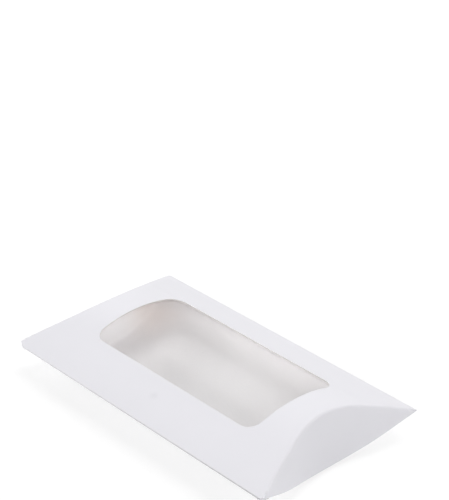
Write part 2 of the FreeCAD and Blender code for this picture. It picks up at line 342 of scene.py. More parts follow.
# %% [markdown]
# ## The structure of the paper
# Seen close, white card isn't even: it has a fine fibre, a slow cloudiness, and here and there a
# speck of grit. Every finish of the card needs these, each at its own strength, so they are made
# once as a node group. It puts out a tone, a height and a mask of specks, and leaves the shader to
# the material.

# %% Paper structure, shared by the card finishes
def new_group(name, inputs, outputs):
    """A new node group with its sockets, and the two nodes that lead in and out of it."""
    group = bpy.data.node_groups.new(name, "ShaderNodeTree")
    for label, kind, value in inputs:
        socket = group.interface.new_socket(label, in_out="INPUT", socket_type=kind)
        if value is not None:
            socket.default_value = value
    for label, kind in outputs:
        group.interface.new_socket(label, in_out="OUTPUT", socket_type=kind)
    return group, group.nodes.new("NodeGroupInput"), group.nodes.new("NodeGroupOutput")


paper, paper_in, paper_out = new_group(
    "paper_structure",
    [
        ("Place", "NodeSocketVector", None),
        ("Fibre scale", "NodeSocketFloat", 1400.0),
        ("Cloud scale", "NodeSocketFloat", 60.0),
        ("Fibre share", "NodeSocketFloat", 0.4),
        ("Speck size", "NodeSocketFloat", 0.1),
    ],
    [("Tone", "NodeSocketFloat"), ("Height", "NodeSocketFloat"), ("Speck", "NodeSocketFloat")],
)
given = paper_in.outputs
fibre = add_node(paper, "ShaderNodeTexNoise", {
    "Vector": given["Place"], "Scale": given["Fibre scale"],
    "Detail": 4.0, "Roughness": 0.65, "Distortion": 0.6,
})
cloud = add_node(paper, "ShaderNodeTexNoise", {
    "Vector": given["Place"], "Scale": given["Cloud scale"], "Detail": 3.0,
})
cloud_share = add_math(paper, "SUBTRACT", 1.0, given["Fibre share"])
fibre_part = add_math(paper, "MULTIPLY", fibre.outputs["Fac"], given["Fibre share"])
cloud_part = add_math(paper, "MULTIPLY", cloud.outputs["Fac"], cloud_share)
grit = add_node(paper, "ShaderNodeTexVoronoi", {"Vector": given["Place"], "Scale": 320.0})
speck = add_node(paper, "ShaderNodeMapRange", {
    "Value": grit.outputs["Distance"], "From Max": given["Speck size"],
    "To Min": 1.0, "To Max": 0.0,
}, interpolation_type="SMOOTHSTEP")
fill(paper, paper_out.inputs["Tone"], add_math(paper, "ADD", fibre_part, cloud_part))
fill(paper, paper_out.inputs["Height"], fibre.outputs["Fac"])
fill(paper, paper_out.inputs["Speck"], speck.outputs["Result"])
print("paper structure of", len(paper.nodes), "nodes")

# %% [markdown]
# ## The finishes of the card
# The card is coated on the outside: a cool, even white with a soft sheen. Inside it is bare board,
# duller and a little warmer, painted much lighter than real board as painted light for the light
# that shines through the thin card into the box. The cut edges show the pulp, painted darker for
# the shade along the fine dark lines. The inside of the outer flaps gets the board without that
# painted light, greyer, so that an open flap stands out from the white ground. All four are the
# same shader with other values, so one function makes them: two close tones are mixed by the paper
# structure, which also drives the roughness and a slight relief.

# %% Coated outside, bare inside and cut edge
PAPER_RELIEF = 0.03 * MM
SPECK_TONE = 0.8


def card_finish(
    name, dark, light, rough, sheen, fibre_scale, cloud_scale, fibre_share, speck_size, bump
):
    """White card of two close tones, with its roughness range, sheen and paper structure."""
    material, tree = new_finish(name)
    shader = tree.nodes["Principled BSDF"]
    structure = add_node(tree, "ShaderNodeGroup", {
        "Place": add_node(tree, "ShaderNodeTexCoord").outputs["Object"],
        "Fibre scale": fibre_scale, "Cloud scale": cloud_scale,
        "Fibre share": fibre_share, "Speck size": speck_size,
    }, node_tree=paper).outputs
    tone = add_mix(tree, structure["Tone"], dark, light)
    speck_colour = tuple(SPECK_TONE * part for part in dark)
    gloss = add_node(tree, "ShaderNodeMapRange", {
        "Value": structure["Tone"], "To Min": rough[0], "To Max": rough[1],
    })
    relief = add_node(tree, "ShaderNodeBump", {
        "Strength": bump, "Distance": PAPER_RELIEF, "Height": structure["Height"],
    })
    fill(tree, shader.inputs["Base Color"], add_mix(tree, structure["Speck"], tone, speck_colour))
    fill(tree, shader.inputs["Roughness"], gloss.outputs["Result"])
    fill(tree, shader.inputs["Normal"], relief.outputs["Normal"])
    shader.inputs["Specular IOR Level"].default_value = sheen
    material.diffuse_color = (*light, 1)
    return material


BOARD = dict(
    rough=(0.72, 0.9), sheen=0.25,
    fibre_scale=1300, cloud_scale=70, fibre_share=0.45, speck_size=0.12, bump=0.35,
)
coated_white = card_finish(
    "coated_white", (0.70, 0.695, 0.73), (0.745, 0.738, 0.775), rough=(0.42, 0.56), sheen=0.45,
    fibre_scale=2200, cloud_scale=45, fibre_share=0.25, speck_size=0.05, bump=0.10,
)
# Painted light: this inside board is lighter than real board, standing in for light through the
# card.
bare_board_painted_light = card_finish("bare_board_painted_light", (0.934, 0.918, 0.924), (0.974, 0.964, 0.971), **BOARD)
# Partly painted shade: the pulp tone of the cut edges is darkened to give the shade of the thin
# dark lines at the window, the seam and the lower lip.
cut_edge_with_painted_shade = card_finish(
    "cut_edge_with_painted_shade", (0.62, 0.60, 0.575), (0.76, 0.74, 0.715), rough=(0.8, 0.95), sheen=0.2,
    fibre_scale=2600, cloud_scale=200, fibre_share=0.6, speck_size=0.15, bump=0.5,
)
# The inside of the outer flaps keeps the plainer board tone, without the painted light.
flap_board = card_finish("flap_board", (0.73, 0.715, 0.70), (0.78, 0.768, 0.755), **BOARD)
for finish in (coated_white, bare_board_painted_light, cut_edge_with_painted_shade, flap_board):
    print("finish", finish.name, "of", len(finish.node_tree.nodes), "nodes")

# %% [markdown]
# ## Marks and painted shade on the card
# This box has one faint grey smudge on the long side that faces the front, a few millimetres
# across. The board inside gets a painted warm shade in the deep far corner, under the top panel,
# where little light reaches. Both could be painted on a picture, but then the card would have to be
# unwrapped for it. A mask made of nodes only needs a place: a soft round spot, broken up by noise,
# which mixes another colour into the finish.

# %% A faint smudge and a painted warm shade
def add_smudge_and_shade_spot(material, middle, reach, depth, colour, grain):
    """Mix a colour into a finish inside a soft round spot, by a share of depth in its middle."""
    tree = material.node_tree
    socket = tree.nodes["Principled BSDF"].inputs["Base Color"]
    before = socket.links[0].from_socket
    place = add_node(tree, "ShaderNodeTexCoord").outputs["Object"]
    from_middle = add_node(tree, "ShaderNodeMapping", {
        "Vector": place, "Location": middle, "Scale": reach,
    }, vector_type="TEXTURE")
    distance = add_node(
        tree, "ShaderNodeVectorMath", {0: from_middle.outputs["Vector"]}, operation="LENGTH"
    )
    spot = add_node(tree, "ShaderNodeMapRange", {
        "Value": distance.outputs["Value"], "To Min": depth, "To Max": 0.0,
    }, interpolation_type="SMOOTHSTEP")
    patchy = add_node(tree, "ShaderNodeTexNoise", {"Vector": place, "Scale": grain})
    mask = add_math(tree, "MULTIPLY", spot.outputs["Result"], patchy.outputs["Fac"])
    fill(tree, socket, add_mix(tree, mask, before, colour))
    print("mark on", material.name, "at", [round(part / MM, 1) for part in middle], "mm")


add_smudge_and_shade_spot(
    coated_white, middle=Vector((0.1, -26.9, 14.2)) * MM, reach=Vector((2.6, 2.2, 3)) * MM,
    depth=0.3, colour=(0.42, 0.42, 0.45), grain=420,
)
# Painted shade: a warm darkening of the board in the deep far corner of the inside.
add_smudge_and_shade_spot(
    bare_board_painted_light, middle=Vector((-52, 17, 7)) * MM, reach=Vector((17, 17, 14)) * MM,
    depth=0.6, colour=(0.93, 0.78, 0.68), grain=30,
)

# %% [markdown]
# Along the fold of the glued side runs a fine dark line, strongest at the near end: the raw edge of
# the bottom and the shade in the narrow gap under the fold. It is too thin to model, so it is
# painted shade. The fold is at a known place, so two ramps, one across the fold and one along the
# box, give the mask for it.

# %% A line of painted shade along the glued fold
SEAM_SHADE_GREY = (0.3, 0.3, 0.3)


def add_seam_shade_line(material, far_share, near_share):
    """Mix grey into a finish along the fold of the glued side, as painted shade with the raw edge,
    by a share that grows along it.
    """
    tree = material.node_tree
    socket = tree.nodes["Principled BSDF"].inputs["Base Color"]
    before = socket.links[0].from_socket
    place = add_node(tree, "ShaderNodeTexCoord").outputs["Object"]
    parts = add_node(tree, "ShaderNodeSeparateXYZ", {0: place}).outputs
    fold = add_node(tree, "ShaderNodeMapRange", {
        "Value": parts["Y"], "From Min": FOLD_RADIUS - HALF_WIDTH, "From Max": -HALF_WIDTH,
    }, interpolation_type="SMOOTHSTEP")
    along = add_node(tree, "ShaderNodeMapRange", {
        "Value": parts["X"], "From Min": -HALF_LENGTH, "From Max": HALF_LENGTH,
        "To Min": far_share, "To Max": near_share,
    })
    mask = add_math(tree, "MULTIPLY", fold.outputs["Result"], along.outputs["Result"])
    fill(tree, socket, add_mix(tree, mask, before, SEAM_SHADE_GREY))


# Painted shade: grey along the seam under the fold, more towards the near end.
add_seam_shade_line(coated_white, far_share=0.06, near_share=0.65)
print("coat with its marks of", len(coated_white.node_tree.nodes), "nodes")

# %% [markdown]
# ## From sheet to card
# Card has a coated side, a bare side and cut edges. A copy of the sheet could be moved inwards and
# bridged to it. The solidify modifier does that in one step, and hands the three finishes to the
# outside, the inside and the rim. At the tips of the box the folds close up and no pulp shows, so
# the rim there takes the coat.

# %% Give a sheet its thickness
COAT_SLOT, BOARD_SLOT, EDGE_SLOT = 0, 1, 2
SMOOTH_ANGLE = math.radians(40)
TIP_STEP = 0.05 * MM
TIP_LENGTH = 5 * MM


def thicken(sheet, board=bare_board_painted_light):
    """Give a sheet the thickness of the card, inwards, with a finish for each of its sides."""
    for finish in (coated_white, board, cut_edge_with_painted_shade):
        sheet.data.materials.append(finish)
    wall = sheet.modifiers.new("card", "SOLIDIFY")
    wall.thickness = CARD
    wall.offset = -1
    wall.use_even_offset = True
    wall.material_offset = BOARD_SLOT
    wall.material_offset_rim = EDGE_SLOT
    apply_modifiers(sheet)
    bpy.ops.object.shade_smooth_by_angle(angle=SMOOTH_ANGLE)
    for face in sheet.data.polygons:
        past_crease = abs(face.center.y) > upper_end - TIP_STEP
        near_tip = abs(face.center.x) > HALF_LENGTH - TIP_LENGTH
        if face.material_index == EDGE_SLOT and past_crease and near_tip:
            face.material_index = COAT_SLOT


# %% [markdown]
# ## The sleeve
# Top and bottom are one piece of card, folded at one long side and closed by a glued tab at the
# other. A closed loop could be spun in one go, but the two creases differ, so two bowed sheets are
# made, each cut back to its crease strips and to the blunt corners. At the glued side the corners
# are cut off at a slant.

# %% Cut the two panels
CREST_INSET = 0.75 * MM
GLUED_CORNER = {1: 0.8 * MM, -1: 2.8 * MM}
CORNER_SPAN = 1.5 * MM


def corner_cut(end):
    """Slanted plane that takes the corner off at the glued side, near (1) or far (-1) end."""
    back = GLUED_CORNER[end]
    start = Vector((end * (HALF_LENGTH - CORNER_RELIEF - back), -HALF_WIDTH, FOLD_Z))
    return start, Vector((end, -back / CORNER_SPAN, 0)).normalized()


def panel(name, side, crease, strip, tip, last):
    """Bowed sheet cut back to the crease strips, with its blunt corners left on."""
    sheet = bowed_sheet(name, side, HALF_LENGTH)
    blunt = tip - CORNER_RELIEF
    edit(sheet)
    for plane in (crease, other_end(crease)):
        cut(plane, drop_beyond=True)
    for end in (1, -1):
        cut((Vector((end * blunt, 0, FOLD_Z)), Vector((end, 0, 0))), drop_beyond=True)
        cut(corner_cut(end), drop_beyond=True)
    for plane in (strip, other_end(strip)):
        cut(plane)
        pick_faces(sheet, lambda place: abs(place.y) < last and beyond(plane, place) > 0)
        bpy.ops.mesh.delete(type="FACE")
    crest = (crease[0] - Vector((CREST_INSET, 0, 0)), crease[1])
    for plane in (crest, other_end(crest)):
        cut(plane, drop_beyond=True)
    bpy.ops.object.mode_set(mode="OBJECT")
    return sheet


sleeve_card = panel("sleeve_card", 1, upper_crease, upper_strip, HALF_LENGTH, upper_end)
lower_half = panel("lower_half", -1, lower_crease, lower_strip, HALF_LENGTH - NEST, lower_end)
for half in (sleeve_card, lower_half):
    print(half.name, "sheet", len(half.data.polygons), "faces")

# %% [markdown]
# The two panels are joined into one mesh. At the folded side their edges meet without a gap, but
# stay two shells: the creases differ, so top and bottom have no points there that could be merged.
# At the glued side the raw edge of the bottom stops just short of the fold, which leaves the fine
# dark line that every such seam has.

# %% Join the two panels
SEAM = 0.3 * MM
edit(lower_half)
pick_faces(lower_half, lambda place: place.y < 0)
bpy.ops.mesh.bisect(
    plane_co=(0, 0, FOLD_Z - SEAM), plane_no=(0, 0, 1), clear_outer=True, threshold=TINY
)
take(sleeve_card)
lower_half.select_set(True)
bpy.ops.object.join()
print("sleeve sheet", len(sleeve_card.data.polygons), "faces")

# %% [markdown]
# ## The window
# The window is punched out with a rounded rectangle. A plane is brought to the size of the window,
# its four corners are bevelled round, and the outline is pulled up into a block, the punch.

# %% Make the punch
WINDOW_LENGTH = 80 * MM
WINDOW_WIDTH = 40.1 * MM
WINDOW_SHIFT = 0.3 * MM
WINDOW_CORNER = 5 * MM
PUNCH_FOOT = FOLD_Z + RISE / 3
select_nothing()
bpy.ops.mesh.primitive_plane_add(size=1, location=(0, WINDOW_SHIFT, PUNCH_FOOT))
punch = bpy.context.object
punch.scale = (WINDOW_LENGTH, WINDOW_WIDTH, 1)
bpy.ops.object.transform_apply(location=True, rotation=True, scale=True)
edit(punch)
bpy.ops.mesh.select_all(action="SELECT")
bpy.ops.mesh.bevel(offset=WINDOW_CORNER, segments=12, profile=0.5, affect="VERTICES")
bpy.ops.mesh.select_all(action="SELECT")
bpy.ops.mesh.extrude_region_move(TRANSFORM_OT_translate={"value": (0, 0, RISE)})
bpy.ops.mesh.select_all(action="SELECT")
bpy.ops.mesh.normals_make_consistent(inside=False)
bpy.ops.object.mode_set(mode="OBJECT")
punch.data.materials.append(cut_edge_with_painted_shade)
print("punch in mm", [round(edge / MM, 1) for edge in punch.dimensions])

# %% [markdown]
# The hole could be cut into the thin sheet, but its round corners cross many faces, and each would
# have to be cut by hand. So the card gets its thickness first, and a boolean takes the punch out
# of it. That keeps the cut edges crisp, and they take the look of cut board.

# %% Punch the window
thicken(sleeve_card)
opening = sleeve_card.modifiers.new("window", "BOOLEAN")
opening.object = punch
opening.operation = "DIFFERENCE"
opening.solver = "EXACT"
opening.material_mode = "TRANSFER"
apply_modifiers(sleeve_card)
bpy.data.objects.remove(punch)
bpy.ops.object.shade_smooth_by_angle(angle=SMOOTH_ANGLE)
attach(sleeve_card, "sleeve")
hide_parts("top_panel", "bottom_panel")
print("sleeve", len(sleeve_card.data.polygons), "faces")

# %% [markdown]
# ## The end flaps
# A flap starts as the same bowed sheet, longer than the box. It is cut off at the crease strip,
# creased along the crease plane, and everything past the crease is mirrored in that plane, which
# folds it down across the end. It could be folded by turning it about a line, but a curved crease
# has no straight line to turn about, and the mirror image is exact.

# %% Fold one flap
SPARE_LENGTH = 24 * MM


def flap(name, side, crease, strip, free_edge, last):
    """One folded flap with a strip of the panel, at the near end of the box."""
    sheet = bowed_sheet(name, side, HALF_LENGTH + SPARE_LENGTH)
    edit(sheet)
    cut(strip, drop_before=True)
    cut(crease)
    pick_faces(sheet, lambda place: abs(place.y) > last)
    bpy.ops.mesh.delete(type="FACE")
    pick(sheet, lambda place: beyond(crease, place) > TINY)
    across_box = Vector((0, 1, 0))
    axes = Matrix((crease[1], across_box, crease[1].cross(across_box))).transposed()
    bpy.ops.transform.resize(
        value=(-1, 1, 1), orient_type="GLOBAL", orient_matrix=axes, orient_matrix_type="GLOBAL",
        constraint_axis=(True, False, False), center_override=crease[0],
    )
    cut(free_edge, drop_beyond=True)
    bpy.ops.object.mode_set(mode="OBJECT")
    face_outwards(sheet, Vector((0, 0, side)))
    return sheet


near_outer_card = flap(
    "near_outer_card", 1, upper_crease, upper_strip, outer_free_edge, upper_end
)
near_inner_card = flap(
    "near_inner_card", -1, lower_crease, lower_strip, inner_free_edge, lower_end
)
for card in (near_outer_card, near_inner_card):
    print(card.name, "sheet", len(card.data.polygons), "faces")

# %% [markdown]
# ## Round crests
# Scored card doesn't fold sharp, so the crease edge is bevelled into a round crest. The crest of
# the inner flap is softer still in its middle, which smoothing gives: a wider bevel would also
# change its ends. Cuts that run along the crease divide the flap into strips.

# %% Round the crests
OUTER_CREST = 0.7 * MM
INNER_CREST = 1.6 * MM
FLAP_CUTS = range(2, 13)
SOFT_REACH = 31 * MM
SOFT_DEPTH = 6.6 * MM
SEAM_REACH = 0.2 * MM


def round_crest(sheet, crease, width):
    """Bevel the crease into a round crest, and divide the flap by cuts along it, in mm."""
    edit(sheet)
    pick(sheet, lambda place: abs(beyond(crease, place)) < TINY)
    bpy.ops.mesh.bevel(offset=width, segments=8, profile=0.5, affect="EDGES")
    for step in FLAP_CUTS:
        cut((crease[0] - crease[1] * step * MM, crease[1]))
    bpy.ops.object.mode_set(mode="OBJECT")


def soften_crest(sheet, crease, strip):
    """Round the middle of a crest further, without moving the seam to the panel."""
    def on_crest(place):
        on_seam = abs(beyond(strip, place)) < SEAM_REACH
        return abs(place.y) < SOFT_REACH and beyond(crease, place) > -SOFT_DEPTH and not on_seam

    edit(sheet)
    pick(sheet, on_crest)
    bpy.ops.mesh.vertices_smooth(factor=0.5, repeat=40)
    bpy.ops.object.mode_set(mode="OBJECT")


round_crest(near_outer_card, upper_crease, OUTER_CREST)
round_crest(near_inner_card, lower_crease, INNER_CREST)
soften_crest(near_inner_card, lower_crease, lower_strip)
print("crests of", OUTER_CREST / MM, "and", INNER_CREST / MM, "mm")

# %% [markdown]
# At its two short ends a flap runs out into the tips of the box, where the card is pressed almost
# flat between the folds. Its end edges are extruded to the tip and flattened there. Without that,
# a small open corner would be left beside each crease.

# %% Close the tips
TIP_HEIGHT = 0.1


def tuck_ends(sheet, side, last, rise):
    """Draw the two short ends of a flap out to the tips of the box, where they run to a point."""
    for way, back in ((1, 0), (-1, GLUED_CORNER[1])):
        edit(sheet)
        pick(sheet, lambda place: (
            way * place.y > last - TINY and side * (place.z - FOLD_Z) < rise - TIP_STEP
        ))
        out = (-back, way * (HALF_WIDTH - TIP_STEP - last), 0)
        bpy.ops.mesh.extrude_edges_move(TRANSFORM_OT_translate={"value": out})
        bpy.ops.transform.resize(value=(1, 1, TIP_HEIGHT), center_override=(0, 0, FOLD_Z))
    bpy.ops.object.mode_set(mode="OBJECT")
    face_outwards(sheet, Vector((0, 0, side)))


tuck_ends(near_outer_card, 1, upper_end, upper_end_rise)
tuck_ends(near_inner_card, -1, lower_end, lower_end_rise)
for card, board in ((near_outer_card, flap_board), (near_inner_card, bare_board_painted_light)):
    thicken(card, board)
    print(card.name, len(card.data.polygons), "faces")

# %% [markdown]
# The far end has the same two flaps, turned to face the other way. Each is copied with a mesh of
# its own and mirrored by a scale of minus one along the box. That turns a mesh inside out, so its
# faces are turned round again. At the glued side the tip is moved to the other slanted corner.

# %% Copy the flaps to the far end
TIP_REACH = 0.5 * MM


def far_copy(card, name):
    """Copy of a near flap, mirrored to the far end."""
    take(card)
    bpy.ops.object.duplicate(linked=False)
    copy = bpy.context.object
    copy.name = name
    copy.data.name = name
    edit(copy)
    bpy.ops.mesh.select_all(action="SELECT")
    bpy.ops.transform.resize(value=(-1, 1, 1), center_override=(0, 0, 0))
    bpy.ops.mesh.select_all(action="SELECT")
    bpy.ops.mesh.flip_normals()
    pick(copy, lambda place: place.y < TIP_REACH - HALF_WIDTH)
    bpy.ops.transform.translate(value=(GLUED_CORNER[-1] - GLUED_CORNER[1], 0, 0))
    bpy.ops.object.mode_set(mode="OBJECT")
    print(name, len(copy.data.polygons), "faces")
    return copy


far_outer_card = far_copy(near_outer_card, "far_outer_card")
far_inner_card = far_copy(near_inner_card, "far_inner_card")

# %% [markdown]
# ## The ends, as a hand folds them
# Scores and mirror folds give even ends. A hand that pushes the flaps in never does it quite
# evenly. At the near end the lower lip comes further out, most at its left and right, the left
# shoulder of the crest leans out and its left tail lies back, and its right half stands a little
# higher. At the far end the bottom fold is pushed further in, which shows through the window as a
# soft hollow without a line.

# %% How far each place moves
# A zone is the middle of a swell and how far it reaches from there, in mm.
NEAR_END, FAR_END, SIDE_FOLDS = (68, 28), (-60, 24), (42, 14)
LIP_HEIGHT, LIP_RIGHT, LIP_LEFT = (-1, 20), (18, 22), (-27, 14)
SHOULDER, SHOULDER_HEIGHT = (-13, 16), (18, 12)
RIGHT_HALF, RIGHT_HEIGHT = (27, 16), (14, 12)
TAIL, TAIL_HEIGHT = (-30, 10), (14, 8)
# How far the middle of each zone moves, in mm.
LIP_OUT, LIP_OUT_RIGHT, LIP_OUT_LEFT = 1.9, 0.9, 1.5
SHOULDER_OUT, SHOULDER_DOWN = 2.4, 0.6
RIGHT_BACK, RIGHT_UP = 0.8, 0.9
TAIL_BACK = 2.6
# The far fold: how far it is pushed in, and the foot and height in mm that the push fades over.
PUSH = 3.4 * MM
PUSH_FOOT, PUSH_HEIGHT = -1, 8.9


def swell(value, zone):
    """One in the middle of a zone, falling smoothly to nothing at its reach."""
    middle, reach = zone
    share = max(0.0, 1 - abs(value / MM - middle) / reach)
    return share * share * (3 - 2 * share)


def off_side_folds(place):
    """One over the middle of the box, falling to nothing outside the side folds."""
    return 1 - swell(abs(place.y), SIDE_FOLDS)


def hand_fold(place):
    """How far a place at the near end moves, in metres."""
    lip = swell(place.z, LIP_HEIGHT) * off_side_folds(place)
    at_right, at_left = swell(place.y, LIP_RIGHT), swell(place.y, LIP_LEFT)
    lip_out = LIP_OUT + LIP_OUT_RIGHT * at_right + LIP_OUT_LEFT * at_left
    left = swell(place.y, SHOULDER) * swell(place.z, SHOULDER_HEIGHT)
    right = swell(place.y, RIGHT_HALF) * swell(place.z, RIGHT_HEIGHT)
    tail = swell(place.y, TAIL) * swell(place.z, TAIL_HEIGHT)
    outwards = lip_out * lip + SHOULDER_OUT * left - RIGHT_BACK * right - TAIL_BACK * tail
    upwards = RIGHT_UP * right - SHOULDER_DOWN * left
    return Vector((outwards, 0, upwards)) * swell(place.x, NEAR_END) * MM


def push_in(place):
    """How far a place at the far end moves, in metres. Nothing moves from the side folds up."""
    height = (place.z / MM - PUSH_FOOT) / PUSH_HEIGHT
    lip = max(0.0, 1 - height ** 3) * off_side_folds(place)
    return Vector((PUSH * lip * swell(place.x, FAR_END), 0, 0))


print("cage points: near lip out by", LIP_OUT, "mm, far fold in by", round(PUSH / MM, 2), "mm")

# %% [markdown]
# Pulling points of several meshes by eye would open gaps between them. A lattice is a cage of a few
# points that moves everything inside it together, so one cage at each end shapes the sleeve and
# its flaps, and they still fit.

# %% Shape both ends with a lattice
def shape_end(cards, low, high, counts, rule):
    """Move what lies in a cage by a rule, the same way for each of the cards. Corners in mm."""
    low, high = Vector(low) * MM, Vector(high) * MM
    select_nothing()
    bpy.ops.object.add(type="LATTICE", location=(low + high) / 2)
    cage = bpy.context.object
    cage.data.points_u, cage.data.points_v, cage.data.points_w = counts
    corner = max((point.co for point in cage.data.points), key=sum)
    cage.scale = [(top - foot) / 2 / half for foot, top, half in zip(low, high, corner)]
    bpy.context.view_layer.update()
    for point in cage.data.points:
        move = rule(cage.matrix_world @ point.co)
        step = Vector([part / size for part, size in zip(move, cage.scale)])
        point.co_deform = point.co + step
    for card in cards:
        shape = card.modifiers.new("shaped_end", "LATTICE")
        shape.object = cage
        apply_modifiers(card)
    bpy.data.objects.remove(cage)
    print("shaped by a cage:", [card.name for card in cards])


shape_end(
    (sleeve_card, near_outer_card, near_inner_card),
    low=(36, -40, -1), high=(68, 40, 21), counts=(5, 9, 4), rule=hand_fold,
)
shape_end(
    (sleeve_card, far_inner_card),
    low=(-68, -40, -1), high=(-36, 40, 10.1), counts=(5, 9, 6), rule=push_in,
)

# %% [markdown]
# ## The flaps and their joints
# When a flap is opened, its crest stays on the panel, because both are one piece of card. Riding
# on the flap's body alone, it would tear off along the crease, so a flap would have to pass from
# the sleeve to its own body over a few millimetres beyond the crest. Here each flap card only has
# its place baked into its mesh, and its measured solid is hidden. The far bottom fold is pushed in,
# so its strip is counted a little longer.

# %% Bake the flaps in place
OUTER_BLEND = 11 * MM
INNER_BLEND = 6 * MM
PUSHED_STRIP = LOWER_STRIP + 2 * MM
far_upper, far_lower = other_end(upper_crease), other_end(lower_crease)
for card, body, node, plane, strip, length in (
    (near_outer_card, "near_outer", "near_outer_flap", upper_crease, UPPER_STRIP, OUTER_BLEND),
    (near_inner_card, "near_inner", "near_inner_flap", lower_crease, LOWER_STRIP, INNER_BLEND),
    (far_outer_card, "far_outer", "far_outer_flap", far_upper, UPPER_STRIP, OUTER_BLEND),
    (far_inner_card, "far_inner", "far_inner_flap", far_lower, PUSHED_STRIP, INNER_BLEND),
):
    point, way = plane
    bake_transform(card)
    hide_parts(node)
    print(card.name, "passes from sleeve to", body, "over", round(length / MM, 1), "mm")

# %% [markdown]
# ## The glue tab
# A tab along one side of the top is folded in and glued to the inside of the bottom. It shows only
# through the window and at an open end. It is the bowed sheet again, one card and one layer of
# glue further in, cut to a strip with slanted ends. Folding it off the top would give the same
# shape in more steps.

# %% Cut the glue tab
GLUE = 0.1 * MM
TAB_REACH = 50 * MM
TAB_INNER, TAB_OUTER = 25 * MM, 36.1 * MM
TAB_CORNER = 48 * MM
SLANT_ALONG, SLANT_ACROSS = 12, 5
tab_card = bowed_sheet("tab_card", -1, TAB_REACH, inset=CARD + GLUE, turns=BOW[:2])
edit(tab_card)
cut((Vector((0, -TAB_INNER, 0)), Vector((0, 1, 0))), drop_beyond=True)
cut((Vector((0, -TAB_OUTER, 0)), Vector((0, -1, 0))), drop_beyond=True)
for end in (1, -1):
    corner = Vector((end * TAB_CORNER, -HALF_WIDTH, 0))
    way = Vector((end * SLANT_ALONG, SLANT_ACROSS, 0)).normalized()
    cut((corner, way), drop_beyond=True)
bpy.ops.object.mode_set(mode="OBJECT")
thicken(tab_card)
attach(tab_card, "sleeve")
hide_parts("seam_tab")
print("glue tab", len(tab_card.data.polygons), "faces")

# %% [markdown]
# ## The window film
# The film is a clear plastic sheet glued behind the window, and it follows the bow of the panel. A
# flat pane would stand off the card at its sides. So it is the bowed sheet once more, set in by
# the card and the glue, trimmed to its overlap with the card and given the thickness of film.

# %% Make the film
FILM = 0.12 * MM
FILM_REACH = 46 * MM
FILM_HALF_WIDTH = 25.75 * MM
FILM_PLAY = 0.02 * MM
film_inset = CARD + GLUE + FILM_PLAY
clear_film = bowed_sheet("clear_film", 1, FILM_REACH, inset=film_inset, turns=BOW[:2])
edit(clear_film)
for way in (1, -1):
    cut((Vector((0, way * FILM_HALF_WIDTH, 0)), Vector((0, way, 0))), drop_beyond=True)
bpy.ops.object.mode_set(mode="OBJECT")
skin = clear_film.modifiers.new("film", "SOLIDIFY")
skin.thickness = FILM
skin.offset = -1
apply_modifiers(clear_film)
bpy.ops.object.shade_smooth_by_angle(angle=SMOOTH_ANGLE)
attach(clear_film, "sleeve")
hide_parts("window_film")
print("film", len(clear_film.data.polygons), "faces")

# %% [markdown]
# Real clear film lets most light through, mirrors a little of it, more at a flat angle, and carries
# a breath of haze. Glass shaders bend light, which a thin film doesn't, so the shader is put
# together from those three: a transparent part, a glossy part that grows towards flat angles, on
# the side that the light meets first, and a very thin veil of dust in noise. A slow ripple bends
# the mirror image a little, because film is never quite flat.

# %% The finish of the film
film_clear, film_tree = new_finish("film_clear")
veil = film_tree.nodes["Principled BSDF"]
veil.inputs["Base Color"].default_value = (0.9, 0.91, 0.93, 1)
veil.inputs["Roughness"].default_value = 0.6
film_place = add_node(film_tree, "ShaderNodeTexCoord").outputs["Object"]
haze = add_node(film_tree, "ShaderNodeTexNoise", {"Vector": film_place, "Scale": 2400.0})
haze_share = add_node(film_tree, "ShaderNodeMapRange", {
    "Value": haze.outputs["Fac"], "From Min": 0.35, "From Max": 0.75, "To Max": 0.03,
})
ripple = add_node(film_tree, "ShaderNodeTexNoise", {"Vector": film_place, "Scale": 35.0})
wave = add_node(film_tree, "ShaderNodeBump", {
    "Strength": 0.03, "Distance": 0.3 * MM, "Height": ripple.outputs["Fac"],
})
mirror_part = add_node(film_tree, "ShaderNodeBsdfGlossy", {
    "Roughness": 0.06, "Normal": wave.outputs["Normal"],
})
clear_part = add_node(film_tree, "ShaderNodeBsdfTransparent")
grazing = add_node(film_tree, "ShaderNodeFresnel", {"IOR": 1.8})
inner_side = add_node(film_tree, "ShaderNodeNewGeometry").outputs["Backfacing"]
outer_side = add_math(film_tree, "SUBTRACT", 1.0, inner_side)
pane = add_node(film_tree, "ShaderNodeMixShader", {
    0: add_math(film_tree, "MULTIPLY", grazing.outputs["Fac"], outer_side),
    1: clear_part.outputs[0], 2: mirror_part.outputs[0],
})
dusty = add_node(film_tree, "ShaderNodeMixShader", {
    0: haze_share.outputs["Result"], 1: pane.outputs[0], 2: veil.outputs[0],
})
fill(film_tree, film_tree.nodes["Material Output"].inputs["Surface"], dusty.outputs[0])
clear_film.data.materials.append(film_clear)
print("film shader of", len(film_tree.nodes), "nodes")

# %% [markdown]
# ## The glue
# Two thin layers of glue hold the box together: a frame round the window, between the film and the
# card, and a strip under the tab. They are flat and mostly hidden, so the measured solids stay as
# they are and only get a finish: dried white glue, milky and uneven, smooth where it is thick.

